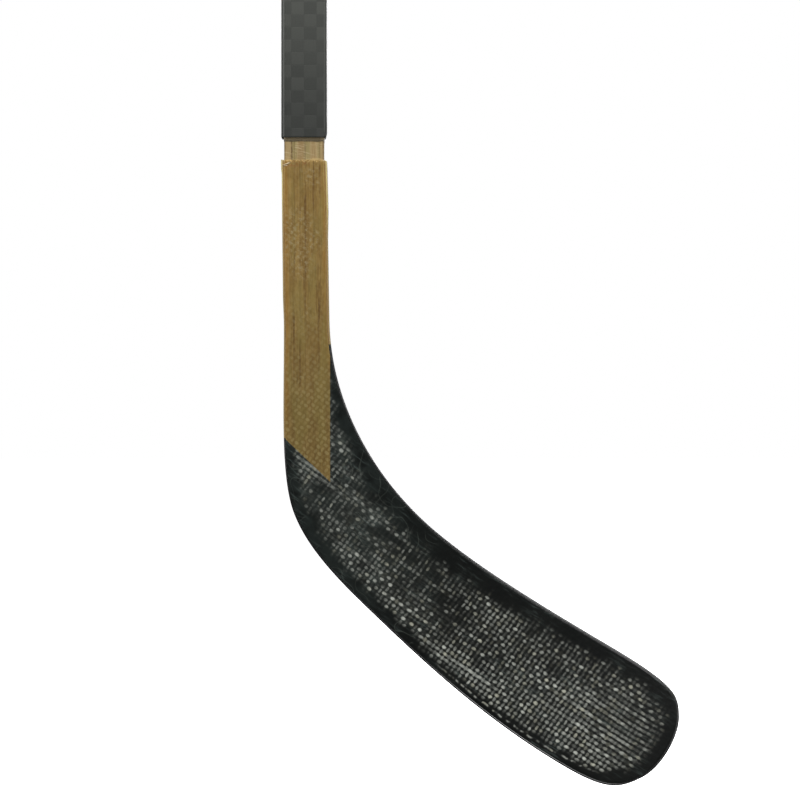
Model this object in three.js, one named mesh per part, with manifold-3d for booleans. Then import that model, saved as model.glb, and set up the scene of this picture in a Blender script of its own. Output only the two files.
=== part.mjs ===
// A two-piece ice hockey stick: a hollow carbon shaft with a butt end plug, and a replaceable blade
// whose laminated wooden hosel ends in a tenon that slides into the shaft's mouth.
// Millimetres, +Z up along the shaft, +X towards the toe, -Y towards the forehand side.
// The shapes are built with the shaft's mouth at Z = 0 and then moved, so that the origin is the
// middle of the top hand's grip.
import * as THREE from "three";
import { mergeVertices } from "three/addons/utils/BufferGeometryUtils.js";
import Module from "manifold-3d";

const wasm = await Module();
wasm.setup();

// --- driving dimensions ---------------------------------------------------------------------------
const SHAFT = { width: 30, depth: 20, corner: 3.2, length: 1270, gripBelowButt: 150 };
const PLY = { thickness: 0.35, bond: 0.1 }; // the woven outer ply and the bond line under it
const TENON = { width: 26.1, depth: 16, corner: 1.45, inside: 49 };
const TENON_GLUE = { thickness: 0.15, clearance: 0.1, showing: 2.5, belowTip: 3 };
const HOLLOW_CLEARANCE = TENON_GLUE.thickness + 2 * TENON_GLUE.clearance;
const PLUG = { spigot: 38, clearance: 0.25, cap: 12, bevel: 2, seat: 0.1, taper: 1.2 };
const SHOULDER = 15; // from the mouth down to the hosel's shoulder
const SKIN = { thickness: 0.8, bond: 0.3, inset: 1.3 }; // the glass laminate on each face
// The glass along the hosel's two sides: `reach` is its share of the side curves before it is cut.
const WRAP = { thickness: 0.85, bond: 0.3, rightEnd: 143, reach: 0.42, rows: 14 };
const GLUE_LINES = [-6.4, 0.9, 10]; // between the four laminations, across the hosel
const GLUE = { thickness: 0.2, gap: 0.2 };
const SPLICE = { left: [-13.2, -197.6], right: [17.2, -226.7], film: 0.35, gap: 0.25, wedgeTop: 145 };
const RIM = { chamfer: 1 };

// The stick's bent centreline in plan: straight down the hosel, round one arc, then out to the toe.
const BEND = { x: 1.6, start: 160, radius: 150, angle: THREE.MathUtils.degToRad(55) };
// Thickness over both laminates, along the centreline: a blade thickness plus a step up to the hosel.
// At the toe the faces fall off by `crown` a shaft's width away from the centreline.
const THICK = { toe: 5.6, taper: 1.6, hosel: 14.6, middle: 225, spread: 42, crown: 0.55 };
// The blade's curve towards the forehand side and how far its face opens, both growing to the toe.
const CURVE = { start: 262, end: 526, depth: 36, open: THREE.MathUtils.degToRad(5) };

// The outline in plan, as cubic curves (start, two handles, end) from the shoulder to the toe's
// corners. Both sides have the same number of curves, so that they pair up across the blade.
const HEEL_SIDE = [
  [[-14.1, -15], [-14, -50], [-13.4, -85], [-13.2, -120]],
  [[-13.2, -120], [-12.9, -172.4], [-16.1, -221], [-7.2, -246.1]],
  [[-7.2, -246.1], [1.4, -270.4], [23.3, -292.4], [45.3, -313.5]],
  [[45.3, -313.5], [82.8, -349.6], [118.8, -381.3], [163, -407.6]],
  [[163, -407.6], [195.4, -426.9], [204.2, -426], [219.8, -418.2]],
];
const THROAT_SIDE = [
  [[14.3, -15], [15.4, -50], [15.7, -83], [16.4, -120]],
  [[16.4, -120], [16.8, -140.4], [20.7, -160.9], [29.8, -182.7]],
  [[29.8, -182.7], [42.7, -213.5], [63.7, -240.6], [88.3, -260.8]],
  [[88.3, -260.8], [116.6, -284], [149.6, -303.9], [184, -324.2]],
  [[184, -324.2], [205, -336.6], [229, -349.6], [239.2, -360.9]],
];
const TOE = [
  [[219.8, -418.2], [233.4, -411.4], [244.9, -390.8], [244.9, -378.5]],
  [[244.9, -378.5], [244.9, -371.4], [244.2, -366.4], [239.2, -360.9]],
];
const STEPS = [3, 8, 9, 8, 9]; // lattice steps along each pair of side curves
const ACROSS = 12; // lattice steps from the heel side to the throat side
const BEYOND = { side: 60, face: 60, top: 100, bottom: -400 }; // clear of all that a prism cuts

// --- materials ------------------------------------------------------------------------------------
const material = (color, roughness, metalness = 0) =>
  new THREE.MeshStandardMaterial({ color, roughness, metalness });
const MATERIALS = {
  weave: material(0x4a4b47, 0.45, 0.2),
  carbon: material(0x2c2d2c, 0.6, 0.2),
  plug: material(0x1b1c1c, 0.7),
  ash: material(0x9a8259, 0.75),
  resin: material(0x5c3a1c, 0.5),
  core: material(0x191b19, 0.5),
  laminate: material(0x35393a, 0.35),
  wrap: material(0xb29a62, 0.4),
};

// --- solids and booleans --------------------------------------------------------------------------
function solid(geometry) {
  const bare = geometry.clone();
  bare.deleteAttribute("normal");
  bare.deleteAttribute("uv");
  const merged = mergeVertices(bare, 1e-4);
  return new wasm.Manifold(
    new wasm.Mesh({
      numProp: 3,
      vertProperties: merged.attributes.position.array,
      triVerts: new Uint32Array(merged.index.array),
    }),
  );
}

function geometryOf(manifold) {
  const mesh = manifold.getMesh();
  const geometry = new THREE.BufferGeometry();
  geometry.setAttribute("position", new THREE.BufferAttribute(mesh.vertProperties, 3));
  geometry.setIndex(new THREE.BufferAttribute(mesh.triVerts, 1));
  geometry.computeVertexNormals();
  return geometry;
}

function part(name, shape, look) {
  const geometry = shape.isBufferGeometry ? shape : geometryOf(shape);
  const mesh = new THREE.Mesh(geometry, look);
  mesh.name = name;
  return mesh;
}

// --- sections along the shaft ---------------------------------------------------------------------
function roundedRectangle(width, depth, corner, path = new THREE.Shape()) {
  const [x, y] = [width / 2 - corner, depth / 2 - corner];
  path.absarc(x, y, corner, 0, Math.PI / 2);
  path.absarc(-x, y, corner, Math.PI / 2, Math.PI);
  path.absarc(-x, -y, corner, Math.PI, 1.5 * Math.PI);
  path.absarc(x, -y, corner, 1.5 * Math.PI, 2 * Math.PI);
  path.closePath();
  return path;
}

// A straight bar, or a tube where it has a bore, from one height to another.
function bar(outer, low, high, bore, bevel = 0) {
  const section = roundedRectangle(outer.width, outer.depth, outer.corner);
  if (bore)
    section.holes.push(roundedRectangle(bore.width, bore.depth, bore.corner, new THREE.Path()));
  const geometry = new THREE.ExtrudeGeometry(section, {
    depth: high - low - 2 * bevel,
    curveSegments: 4,
    bevelEnabled: bevel > 0,
    bevelThickness: bevel,
    bevelSize: bevel,
    bevelOffset: -bevel,
    bevelSegments: 3,
  });
  return geometry.translate(0, 0, low + bevel);
}

// The same rounded rectangle, grown or shrunk evenly by `by` on every side.
const grown = ({ width, depth, corner }, by) => ({
  width: width + 2 * by,
  depth: depth + 2 * by,
  corner: corner + by,
});
const HOLLOW = grown(TENON, HOLLOW_CLEARANCE);

function shaftParts() {
  const plyInside = grown(SHAFT, -PLY.thickness);
  const tubeOutside = grown(plyInside, -PLY.bond);
  return [
    part("shaft_tube", bar(tubeOutside, 0, SHAFT.length, HOLLOW), MATERIALS.carbon),
    part("shaft_woven_ply", bar(SHAFT, 0, SHAFT.length, plyInside), MATERIALS.weave),
  ];
}

// The plug's spigot narrows at its lower end so that it finds the hollow.
function buttPlug() {
  const spigot = bar(
    grown(HOLLOW, -PLUG.clearance),
    SHAFT.length - PLUG.spigot,
    SHAFT.length + PLUG.cap / 2,
    null,
    PLUG.taper,
  );
  const low = SHAFT.length + PLUG.seat;
  const cap = bar(SHAFT, low, low + PLUG.cap, null, PLUG.bevel);
  const skirt = bar(SHAFT, low, low + PLUG.cap / 2);
  return part("butt_end_plug", solid(cap).add(solid(skirt)).add(solid(spigot)), MATERIALS.plug);
}

// --- the hosel and blade's shape ------------------------------------------------------------------
const curvesOf = (list) =>
  list.map((points) => new THREE.CubicBezierCurve(...points.map((p) => new THREE.Vector2(...p))));
const SIDES = { heel: curvesOf(HEEL_SIDE), throat: curvesOf(THROAT_SIDE), toe: curvesOf(TOE) };

// A point at share t of a chain of curves, moved inwards; `turn` says on which hand the inside is.
function chainPoint(curves, t, inset, turn) {
  const index = Math.min(Math.floor(t * curves.length), curves.length - 1);
  const local = t * curves.length - index;
  const tangent = curves[index].getTangent(local);
  const inwards = new THREE.Vector2(-tangent.y, tangent.x).multiplyScalar(turn * inset);
  return curves[index].getPoint(local).add(inwards);
}

const heelPoint = (u, inset) => chainPoint(SIDES.heel, u, inset, 1);
const throatPoint = (u, inset) => chainPoint(SIDES.throat, u, inset, -1);
const toePoint = (v, inset) => chainPoint(SIDES.toe, v, inset, 1);

// The plan point at u from shoulder to toe and v from heel side to throat side: a surface patch
// spread between the four boundary curves.
function planPoint(u, v, inset) {
  const [heel, throat, toe] = [heelPoint(u, inset), throatPoint(u, inset), toePoint(v, inset)];
  const [first, last] = [heelPoint(0, inset), throatPoint(0, inset)];
  const shoulder = first.clone().lerp(last, v);
  const along = heel.lerp(throat, v);
  const across = shoulder.clone().lerp(toe, u);
  const corners = shoulder.lerp(toePoint(0, inset).lerp(toePoint(1, inset), v), u);
  return along.add(across).sub(corners);
}

// Distance s along the bent centreline from the mouth, and offset h towards the throat.
function centrelineOf(x, z) {
  if (z > -BEND.start) return { s: -z, h: x - BEND.x };
  const centre = { x: BEND.x + BEND.radius, z: -BEND.start };
  const [dx, dz] = [x - centre.x, z - centre.z];
  const angle = Math.atan2(-dz, -dx);
  if (angle < BEND.angle)
    return { s: BEND.start + BEND.radius * angle, h: BEND.radius - Math.hypot(dx, dz) };
  const [c, q] = [Math.cos(BEND.angle), Math.sin(BEND.angle)];
  return {
    s: BEND.start + BEND.radius * BEND.angle + dx * q - dz * c,
    h: BEND.radius + dx * c + dz * q,
  };
}

// The middle surface's Y and half the thickness over both laminates, at a plan point.
function sectionAt(x, z) {
  const { s, h } = centrelineOf(x, z);
  const share = Math.max(0, (s - CURVE.start) / (CURVE.end - CURVE.start));
  const middle = -CURVE.depth * share ** 2 + h * Math.tan(CURVE.open) * Math.min(share, 1);
  const step = THICK.hosel / (1 + Math.exp((s - THICK.middle) / THICK.spread));
  const blade = THICK.toe + THICK.taper * (1 - s / CURVE.end);
  const crown = THICK.crown * Math.min(1, s / CURVE.end) * (h / SHAFT.width) ** 2;
  return { middle, half: (blade + step - crown) / 2 };
}

// Shares along the side curves at which the lattice has a row.
const ROWS = STEPS.flatMap((steps, curve) =>
  Array.from({ length: steps }, (_, i) => (curve + i / steps) / STEPS.length),
).concat(1);

// A box lattice bent into place: place(row, layer, column) gives each vertex's x, y and z, where
// row runs from shoulder to toe, layer from front to back and column from heel to throat.
function bentBox(rows, layers, columns, place) {
  const geometry = new THREE.BoxGeometry(1, 1, 1, rows, layers, columns);
  const position = geometry.attributes.position;
  for (let i = 0; i < position.count; i++) {
    const [row, layer, column] = [
      Math.round((position.getX(i) + 0.5) * rows),
      Math.round((position.getY(i) + 0.5) * layers),
      Math.round((position.getZ(i) + 0.5) * columns),
    ];
    position.setXYZ(i, ...place(row, layer, column));
  }
  return solid(geometry);
}

// A layer of the hosel and blade between two depths under its faces. `rim` bevels the long edges.
function layer(inset, { under, rim = 0 }) {
  return bentBox(ROWS.length - 1, rim ? 3 : 1, ACROSS, (row, level, column) => {
    const outermost = !rim || level === 0 || level === 3;
    const plan = planPoint(ROWS[row], column / ACROSS, inset + (outermost ? rim : 0));
    const { middle, half } = sectionAt(plan.x, plan.y);
    const reach = half - under - (outermost ? 0 : rim);
    return [plan.x, middle + reach * (level < (rim ? 2 : 1) ? -1 : 1), plan.y];
  });
}

// The glass laminate on one face: side -1 is the forehand face and 1 the back.
function laminate(side) {
  return bentBox(ROWS.length - 1, 1, ACROSS, (row, level, column) => {
    const plan = planPoint(ROWS[row], column / ACROSS, SKIN.inset);
    const { middle, half } = sectionAt(plan.x, plan.y);
    const outside = (level === 0) === (side < 0);
    return [plan.x, middle + side * (outside ? half : half - SKIN.thickness), plan.y];
  });
}

// The strip of glass along one side of the hosel, between two insets from the outline.
function wrapStrip(pointAt) {
  return bentBox(WRAP.rows, 1, 1, (row, level, column) => {
    const inset = (pointAt === heelPoint) === (column === 0) ? 0 : WRAP.thickness;
    const plan = pointAt((WRAP.reach * row) / WRAP.rows, inset);
    const { middle, half } = sectionAt(plan.x, plan.y);
    const depth = half - SKIN.thickness - SKIN.bond;
    return [plan.x, middle + depth * (level === 0 ? -1 : 1), plan.y];
  });
}

// An upright prism over a plan polygon, deep enough to cut right through.
function prism(points) {
  const shape = new THREE.Shape(points.map((p) => new THREE.Vector2(...p)));
  const geometry = new THREE.ExtrudeGeometry(shape, { depth: 2 * BEYOND.face, bevelEnabled: false });
  return solid(geometry.translate(0, 0, -BEYOND.face).rotateX(Math.PI / 2));
}

// The wooden side of the splice: left of an upright line and above a slanting one, both moved
// outwards by `offset`. Above the wedge's tip it takes in the whole hosel.
function woodSide(offset) {
  const slope = (SPLICE.right[1] - SPLICE.left[1]) / (SPLICE.right[0] - SPLICE.left[0]);
  const drop = offset * Math.hypot(1, slope);
  const lineAt = (x) => SPLICE.left[1] + slope * (x - SPLICE.left[0]) - drop;
  const { side, top } = BEYOND;
  const edge = SPLICE.right[0] + offset;
  return prism([
    [-side, lineAt(-side)],
    [edge, lineAt(edge)],
    [edge, -SPLICE.wedgeTop],
    [side, -SPLICE.wedgeTop],
    [side, top],
    [-side, top],
  ]);
}

// Everything between two upright planes across the hosel, above a level.
const slab = (left, right, low = BEYOND.bottom) =>
  prism([[left, low], [right, low], [right, BEYOND.top], [left, BEYOND.top]]);

// --- the blade's parts ----------------------------------------------------------------------------
const CORE_DEPTH = SKIN.thickness + SKIN.bond; // how far the wood and core lie under the faces
const WOOD_INSET = WRAP.thickness + WRAP.bond;

function woodBlank() {
  const hosel = layer(WOOD_INSET, { under: CORE_DEPTH }).intersect(woodSide(0));
  const clipped = hosel.intersect(slab(-BEYOND.side, SPLICE.right[0]));
  return clipped.add(solid(bar(TENON, -SHOULDER - 1, TENON.inside)));
}

function hoselParts() {
  const blank = woodBlank();
  const half = GLUE.thickness / 2 + GLUE.gap;
  const edges = [-BEYOND.side, ...GLUE_LINES, BEYOND.side];
  const strips = edges.slice(1).map((right, i) => {
    const wood = blank.intersect(slab(edges[i] + half, right - half));
    return part(`hosel_lamination_${i + 1}`, wood, MATERIALS.ash);
  });
  const films = GLUE_LINES.map((x, i) => {
    const film = blank.intersect(slab(x - GLUE.thickness / 2, x + GLUE.thickness / 2));
    return part(`hosel_glue_line_${i + 1}`, film, MATERIALS.resin);
  });
  return [...strips, ...films];
}

function wrapParts() {
  const left = wrapStrip(heelPoint).intersect(woodSide(0));
  const aboveWedge = slab(-BEYOND.side, BEYOND.side, -WRAP.rightEnd);
  const right = wrapStrip(throatPoint).intersect(aboveWedge);
  return [
    part("hosel_heel_side_wrap", left, MATERIALS.wrap),
    part("hosel_throat_side_wrap", right, MATERIALS.wrap),
  ];
}

function bladeParts() {
  const whole = layer(0, { under: CORE_DEPTH, rim: RIM.chamfer });
  const filmOutside = SPLICE.gap + SPLICE.film;
  const core = whole.subtract(woodSide(filmOutside + SPLICE.gap));
  const film = layer(WOOD_INSET, { under: CORE_DEPTH })
    .intersect(woodSide(filmOutside))
    .subtract(woodSide(SPLICE.gap));
  return [
    part("blade_core", core, MATERIALS.core),
    part("splice_glue_film", film, MATERIALS.resin),
    part("front_glass_laminate", laminate(-1), MATERIALS.laminate),
    part("back_glass_laminate", laminate(1), MATERIALS.laminate),
  ];
}

function tenonGlue() {
  const inside = grown(TENON, TENON_GLUE.clearance);
  const outside = grown(inside, TENON_GLUE.thickness);
  const [low, high] = [-TENON_GLUE.showing, TENON.inside - TENON_GLUE.belowTip];
  return part("tenon_glue_film", bar(outside, low, high, inside), MATERIALS.resin);
}

// --- assembly -------------------------------------------------------------------------------------
const shaft = new THREE.Group();
shaft.add(...shaftParts());
const plug = new THREE.Group();
plug.add(buttPlug());
const blade = new THREE.Group();
blade.add(...hoselParts(), ...wrapParts(), ...bladeParts(), tenonGlue());

const stick = new THREE.Group();
stick.add(shaft, plug, blade);
stick.position.z = SHAFT.gripBelowButt - SHAFT.length;

const group = new THREE.Group();
group.add(stick);
export default group;
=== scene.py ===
# A two-piece ice hockey stick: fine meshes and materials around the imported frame.
# Lengths named in millimetres are measured from the shaft's mouth (Z = 0) and turned into the frame's
# metres by one function, `to_frame`. +X runs towards the toe, -Y out of the forehand face.
from functools import partial

import bpy
import numpy as np
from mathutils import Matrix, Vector


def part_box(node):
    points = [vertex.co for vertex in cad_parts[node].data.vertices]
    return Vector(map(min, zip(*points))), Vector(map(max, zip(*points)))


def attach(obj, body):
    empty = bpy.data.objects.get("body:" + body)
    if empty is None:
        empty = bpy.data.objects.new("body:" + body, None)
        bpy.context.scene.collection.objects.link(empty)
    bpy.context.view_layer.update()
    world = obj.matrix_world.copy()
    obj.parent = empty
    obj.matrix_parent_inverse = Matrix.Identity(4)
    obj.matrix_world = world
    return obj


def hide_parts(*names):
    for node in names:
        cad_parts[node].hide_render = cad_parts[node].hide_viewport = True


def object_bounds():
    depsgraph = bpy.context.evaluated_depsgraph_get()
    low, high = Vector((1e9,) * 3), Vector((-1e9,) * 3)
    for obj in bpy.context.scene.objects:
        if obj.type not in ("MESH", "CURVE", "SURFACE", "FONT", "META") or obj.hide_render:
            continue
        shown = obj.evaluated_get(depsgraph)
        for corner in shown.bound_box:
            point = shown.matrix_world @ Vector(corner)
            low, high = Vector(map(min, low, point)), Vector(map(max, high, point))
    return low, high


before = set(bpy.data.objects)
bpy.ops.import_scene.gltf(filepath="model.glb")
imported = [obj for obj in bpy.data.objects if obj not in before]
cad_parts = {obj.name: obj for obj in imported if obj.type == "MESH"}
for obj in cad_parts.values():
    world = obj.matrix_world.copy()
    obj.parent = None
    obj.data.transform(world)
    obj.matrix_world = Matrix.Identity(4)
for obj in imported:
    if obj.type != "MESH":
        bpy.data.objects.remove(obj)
cad_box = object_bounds()
MM = 0.001
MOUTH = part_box("shaft_woven_ply")[0].z

# --- driving dimensions, the same as the frame's, in millimetres ---
SHAFT = {"width": 30, "depth": 20, "corner": 3.2, "length": 1270}
PLY = 0.35
TENON = {"width": 26.1, "depth": 16, "corner": 1.45, "inside": 49}
HOLLOW = {"width": 26.8, "depth": 16.7, "corner": 1.8}
GLUE_RING = {"inner": 0.06, "outer": 0.27, "showing": 2.6, "below_tip": 3}
PLUG = {"spigot": 38, "cap": 12, "bevel": 2, "seat": 0.1, "taper": 1.2, "slack": 0.25}
SHOULDER = -15
SKIN = 0.8
RIM_WIDTH = 1.3  # the strip of core or side wrap that shows outside the laminates
GLUE_LINES = (-6.4, 0.9, 10)
SPLICE_LEFT, SPLICE_RIGHT = (-13.2, -197.6), (17.2, -226.7)
SPLICE_SLOPE = (SPLICE_RIGHT[1] - SPLICE_LEFT[1]) / (SPLICE_RIGHT[0] - SPLICE_LEFT[0])
WEDGE_TOP = -136
# How far the glass along the hosel's two sides stands off the wood, at heights from low to high.
HEEL_OFF = ((-122, 0), (-105, 0.5), (-24, 0.5), (-21, 0.9), (-15, 1))
THROAT_OFF = ((-66, 0), (-48, 0.65), (-15, 0.65))
BEND = {"x": 1.6, "start": 160, "radius": 150, "angle": np.radians(55)}
THICK = {"toe": 5.6, "taper": 1.6, "hosel": 14.6, "middle": 225, "spread": 42, "crown": 0.55}
CURVE = {"start": 262, "end": 526, "depth": 36, "open": np.radians(5)}


def curves(*points):
    """A chain of cubic curves, each of which starts at the last one's end."""
    return np.array([points[i:i + 4] for i in range(0, len(points) - 1, 3)], float)


# The outline in plan, from the shoulder to the toe's corners on both sides, and round the toe.
HEEL_SIDE = curves(
    (-14.1, -15), (-14, -50), (-13.4, -85), (-13.2, -120), (-12.9, -172.4), (-16.1, -221), (-7.2, -246.1),
    (1.4, -270.4), (23.3, -292.4), (45.3, -313.5), (82.8, -349.6), (118.8, -381.3), (163, -407.6),
    (195.4, -426.9), (204.2, -426), (219.8, -418.2),
)
THROAT_SIDE = curves(
    (14.3, -15), (15.4, -50), (15.7, -83), (16.4, -120), (16.8, -140.4), (20.7, -160.9), (29.8, -182.7),
    (42.7, -213.5), (63.7, -240.6), (88.3, -260.8), (116.6, -284), (149.6, -303.9), (184, -324.2),
    (205, -336.6), (229, -349.6), (239.2, -360.9),
)
TOE = curves(
    (219.8, -418.2), (233.4, -411.4), (244.9, -390.8), (244.9, -378.5), (244.9, -371.4), (244.2, -366.4),
    (239.2, -360.9),
)

# --- the weave of glass rovings in the laminates ---
YARN = {"pitch": 3.3, "dip": np.radians(37), "turn": 1.56e-4, "turn_from": 120}
TOW = 8.3  # the width of the shaft's flat carbon tows
# Where the glass shows more (positive) or less through the resin: X, Z, radius, strength.
CLOTH_PATCHES = (
    (-6, -211, 6, 0.15), (6, -221, 7, 0.14), (24, -221, 7, 0.08), (36, -243, 9, -0.22), (12, -243, 7, 0.12),
    (25, -262, 8, 0.15), (38, -287, 10, 0.25), (56, -285, 9, 0.15), (58, -309, 10, 0.3),
    (72, -320, 8, 0.12), (97, -338, 12, 0.25), (114, -353, 12, 0.1), (136, -370, 12, 0.2),
    (128, -312, 13, 0.35), (150, -345, 12, 0.1), (173, -372, 13, 0.22), (174, -392, 12, 0.28),
    (193, -401, 12, 0.3), (200, -412, 6, 0.15), (222, -392, 9, -0.1), (209, -370, 12, 0.2),
    (212, -394, 13, 0.05), (83, -298, 15, -0.18), (192, -385, 5, -0.3), (-4, -240, 12, -0.2),
    (50, -258, 9, -0.12), (5, -26, 7, 0.35), (-4, -56, 8, 0.5), (-6, -72, 8, 0.45), (8, -67, 4, 0.45),
    (-1, -86, 6, 0.4), (0, -118, 9, 0.25), (5, -165, 14, 0.25), (50, -275, 14, -0.08),
    (112, -330, 14, -0.08),
)
# Two long yarns nearer the surface than the rest: place across the yarns, start and end along them,
# strength.
BRIGHT_YARNS = ((-171.3, 122, 215, 0.17), (-220.6, 255, 330, 0.18))
# Where the long yarns (first) or the cross yarns (second) lie on top as unbroken stripes.
LONG_STRIPES = ((214, -390, 18, 0.7), (192, -371, 11, 0.35), (8, -220, 9, 0.25))
CROSS_STRIPES = ((150, -346, 32, 0.35), (215, -388, 20, -0.2), (190, -345, 14, 0.3))

# Dark streaks along the hosel's grain, three of them over its glue lines: place across it, strength,
# the height where it is darkest and how far it reaches from there.
RESIN_STREAKS = (
    (GLUE_LINES[0], 0.95, -112, 50), (GLUE_LINES[1], 0.85, -48, 55), (GLUE_LINES[2], 0.9, -122, 45),
    (-2.6, 0.7, -150, 70), (6.4, 0.5, -40, 40), (13.4, 0.5, -60, 60),
)


def to_frame(x, y, z):
    """Places in millimetres from the mouth, as an array of points in the frame's metres."""
    x, y, z = np.broadcast_arrays(x, y, z)
    return np.stack([x * MM, y * MM, MOUTH + z * MM], -1)


# --- the outline and the two faces ---
def cubic(corners, q):
    """Points at shares of cubic curves."""
    a, b, c, d = corners
    return (1 - q) ** 3 * a + 3 * (1 - q) ** 2 * q * b + 3 * (1 - q) * q**2 * c + q**3 * d


def chain(parts, turn, share, inset=0.0):
    """Points at shares of a chain of cubic curves, moved inwards; turn says which side is inside."""
    share, inset = np.broadcast_arrays(np.asarray(share, float), np.asarray(inset, float))
    index = np.minimum((share * len(parts)).astype(int), len(parts) - 1)
    q = (share * len(parts) - index)[..., None]
    a, b, c, d = corners = np.moveaxis(parts[index], -2, 0)
    point = cubic(corners, q)
    slope = (1 - q) ** 2 * (b - a) + 2 * (1 - q) * q * (c - b) + q**2 * (d - c)
    slope /= np.linalg.norm(slope, axis=-1, keepdims=True)
    inwards = turn * np.stack([-slope[..., 1], slope[..., 0]], -1)
    return point + inset[..., None] * inwards


heel_point = partial(chain, HEEL_SIDE, 1)
throat_point = partial(chain, THROAT_SIDE, -1)
toe_point = partial(chain, TOE, 1)


def plan_point(u, v, inset):
    """The plan point at u from shoulder to toe and v from heel side to throat side."""
    u, v = np.broadcast_arrays(u, v)
    w = v[..., None]
    first, last = heel_point(0, inset), throat_point(0, inset)
    shoulder = first + (last - first) * w
    sides = heel_point(u, inset) * (1 - w) + throat_point(u, inset) * w
    ends = shoulder + (toe_point(v, inset) - shoulder) * u[..., None]
    corner_line = toe_point(0, inset) * (1 - w) + toe_point(1, inset) * w
    corners = shoulder + (corner_line - shoulder) * u[..., None]
    return sides + ends - corners


def centreline(x, z):
    """Distance along the stick's bent centreline from the mouth, and offset towards the throat."""
    start, radius, bend = BEND["start"], BEND["radius"], BEND["angle"]
    dx, dz = x - BEND["x"] - radius, z + start
    angle = np.arctan2(-dz, -dx)
    c, q = np.cos(bend), np.sin(bend)
    straight = -z, x - BEND["x"]
    arc = start + radius * angle, radius - np.hypot(dx, dz)
    out = start + radius * bend + dx * q - dz * c, radius + dx * c + dz * q
    above, beside = z > -start, angle < bend
    return [np.where(above, a, np.where(beside, b, c)) for a, b, c in zip(straight, arc, out)]


def section(x, z):
    """The middle surface's Y and half the thickness over both laminates."""
    s, h = centreline(x, z)
    share = np.maximum(0, (s - CURVE["start"]) / (CURVE["end"] - CURVE["start"]))
    middle = -CURVE["depth"] * share**2 + h * np.tan(CURVE["open"]) * np.minimum(share, 1)
    step = THICK["hosel"] / (1 + np.exp((s - THICK["middle"]) / THICK["spread"]))
    blade = THICK["toe"] + THICK["taper"] * (1 - s / CURVE["end"])
    crown = THICK["crown"] * np.minimum(1, s / CURVE["end"]) * (h / SHAFT["width"]) ** 2
    return middle, (blade + step - crown) / 2


def rim_drop(half, inset):
    """How far the rounded rim lies under the face at a distance from the outline."""
    radius = np.minimum(1.25, 0.42 * half)
    short = np.maximum(radius - inset, 0)
    return radius - np.sqrt(radius**2 - short**2)


def wander(position, wavelength, seed):
    """A smooth random line between -1 and 1, the same on every run."""
    rng = np.random.default_rng(seed)
    waves = wavelength * rng.uniform(0.5, 2, 7)
    phases = rng.uniform(0, 2 * np.pi, 7)
    position = np.asarray(position, float)[..., None]
    return np.sin(2 * np.pi * position / waves + phases).mean(-1) * 2


# --- meshes ---
def lattice(rows, columns, start=0, wrap=False):
    """Quads of a rows x columns lattice of vertices; wrap joins the last column to the first."""
    i = np.arange(rows - 1)[:, None]
    j = np.arange(columns if wrap else columns - 1)[None, :]
    k = (j + 1) % columns
    corners = (i * columns + j, i * columns + k, (i + 1) * columns + k, (i + 1) * columns + j)
    return start + np.stack(np.broadcast_arrays(*corners), -1).reshape(-1, 4)


def facing_out(points, faces):
    """The same faces, turned over if the closed surface they make is inside out."""
    six_volumes = 0.0
    for face in faces:
        p = points[list(face)]
        six_volumes += np.einsum("ij,ij->", np.cross(p[1:-1], p[2:]), np.broadcast_to(p[0], p[2:].shape))
    return faces if six_volumes > 0 else [face[::-1] for face in faces]


def sheet_shell(outer, inner):
    """A closed sheet from two lattices of points, an outer and an inner one."""
    rows, columns = outer.shape[:2]
    points = np.concatenate([outer.reshape(-1, 3), inner.reshape(-1, 3)])
    index = np.arange(rows * columns).reshape(rows, columns)
    edge = np.concatenate([index[0, :-1], index[:-1, -1], index[-1, :0:-1], index[:0:-1, 0]])
    after = np.roll(edge, -1)
    count = rows * columns
    walls = np.stack([edge, edge + count, after + count, after], -1)
    top = lattice(rows, columns)
    faces = np.concatenate([top, lattice(rows, columns, count)[:, ::-1], walls])
    return points, faces.tolist()


def tube_shell(rings):
    """A surface through rings of points, closed at both ends by flat caps."""
    rows, columns = rings.shape[:2]
    caps = [list(range(columns))[::-1], list(range((rows - 1) * columns, rows * columns))]
    return rings.reshape(-1, 3), lattice(rows, columns, wrap=True).tolist() + caps


def pipe_shell(outer_rows, inner_rows):
    """A pipe open at both ends, from rings up its outside and rings down its inside."""
    rings = np.array([*outer_rows, *inner_rows])
    rows, columns = rings.shape[:2]
    faces = lattice(rows + 1, columns, wrap=True) % (rows * columns)
    return rings.reshape(-1, 3), faces.tolist()


def joined(*shells):
    """Several closed shells as one list of points and faces."""
    points, faces, start = [], [], 0
    for shell_points, shell_faces in shells:
        shell_faces = facing_out(shell_points, shell_faces)
        points.append(shell_points)
        faces += [[start + i for i in face] for face in shell_faces]
        start += len(shell_points)
    return np.concatenate(points), faces


def in_scene(name, data):
    """A new object of the data, linked to the scene."""
    thing = bpy.data.objects.new(name, data)
    bpy.context.scene.collection.objects.link(thing)
    return thing


def piece(name, shell, material, body, stands_for, layers=None, crease=40):
    """A mesh object from a closed shell, which rides on a body and stands for CAD nodes.
    Each of its layers has three values for every point, or for every point of the first of two sheets."""
    points, faces = joined(shell)
    mesh = bpy.data.meshes.new(name)
    mesh.from_pydata(points.tolist(), [], faces)
    for label, parts in (layers or {}).items():
        values = np.resize(np.stack(parts, -1), (len(points), 3)).astype(np.float32)
        mesh.attributes.new(label, "FLOAT_VECTOR", "POINT").data.foreach_set("vector", values.ravel())
    mesh.validate()
    mesh.polygons.foreach_set("use_smooth", np.ones(len(mesh.polygons), bool))
    mesh.set_sharp_from_angle(angle=np.radians(crease))
    mesh.materials.append(material)
    thing = in_scene(name, mesh)
    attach(thing, body)
    if stands_for:
        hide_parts(*stands_for)
    return thing


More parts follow.
